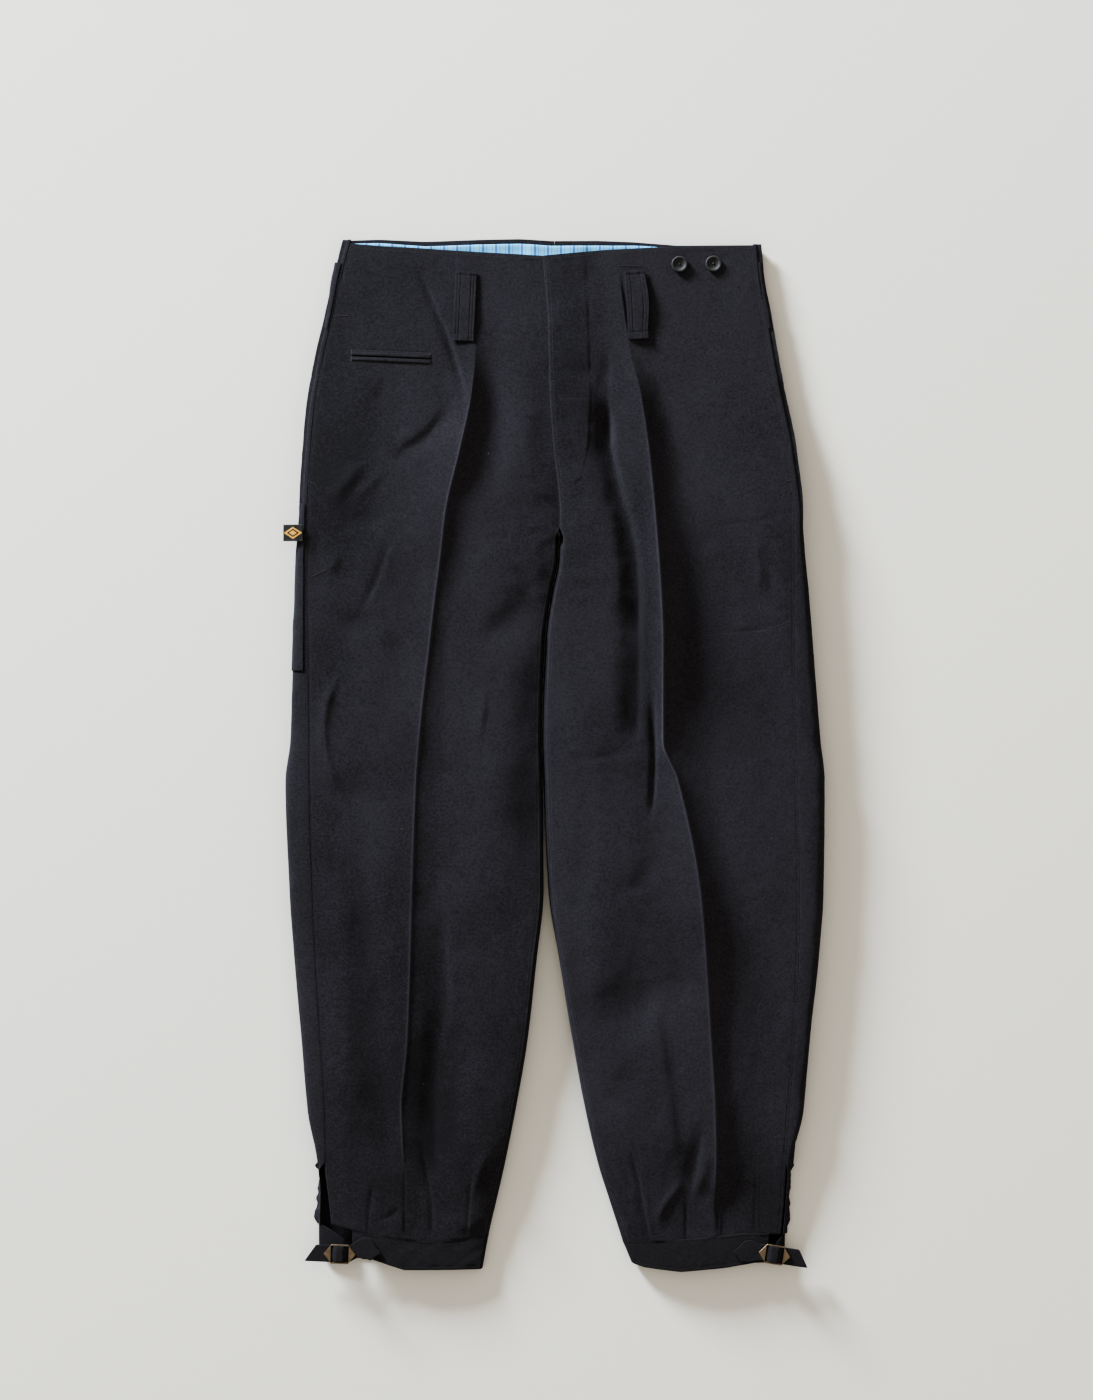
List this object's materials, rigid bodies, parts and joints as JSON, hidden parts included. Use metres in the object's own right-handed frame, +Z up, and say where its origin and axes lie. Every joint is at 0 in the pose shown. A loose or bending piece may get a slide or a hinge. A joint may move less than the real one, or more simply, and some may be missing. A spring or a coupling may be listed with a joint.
{
  "type": "trousers",
  "caption": "High-waisted men's trousers laid flat, with pleated tapered legs, welt and tool pockets, belt loops, brace buttons and cuffs gathered by buckled straps.",
  "frame": {"origin": "on the surface that the trousers lie on, under the middle of their bounding box", "axes": "+Y from the hems to the waist, +Z up from the surface through the front, +X towards the wearer's left leg"},
  "size_m": [0.54, 1.0296, 0.0359],
  "materials": {
    "cloth": "heavy napped cotton twill, near black",
    "facing": "plain-woven shirting, pale blue with darker blue stripes",
    "label": "woven label, dark with an ochre figure",
    "brass": "aged, half polished",
    "horn": "dark grey horn-like resin, satin"
  },
  "bodies": {
    "root": {"front_right": "cloth", "front_left": "cloth", "back_right": "cloth", "back_left": "cloth", "waist_facing": "facing", "belt_loop_right": "cloth", "belt_loop_left": "cloth", "belt_loop_side_right": "cloth", "belt_loop_side_left": "cloth", "pocket_lip_upper": "cloth", "pocket_lip_lower": "cloth", "tool_pocket": "cloth", "label": "label", "cuff_right": "cloth", "cuff_left": "cloth", "strap_right": "cloth", "strap_left": "cloth", "buckle_right": "brass", "buckle_left": "brass", "brace_button_inner": "horn", "brace_button_outer": "horn"}
  },
  "joints": []
}
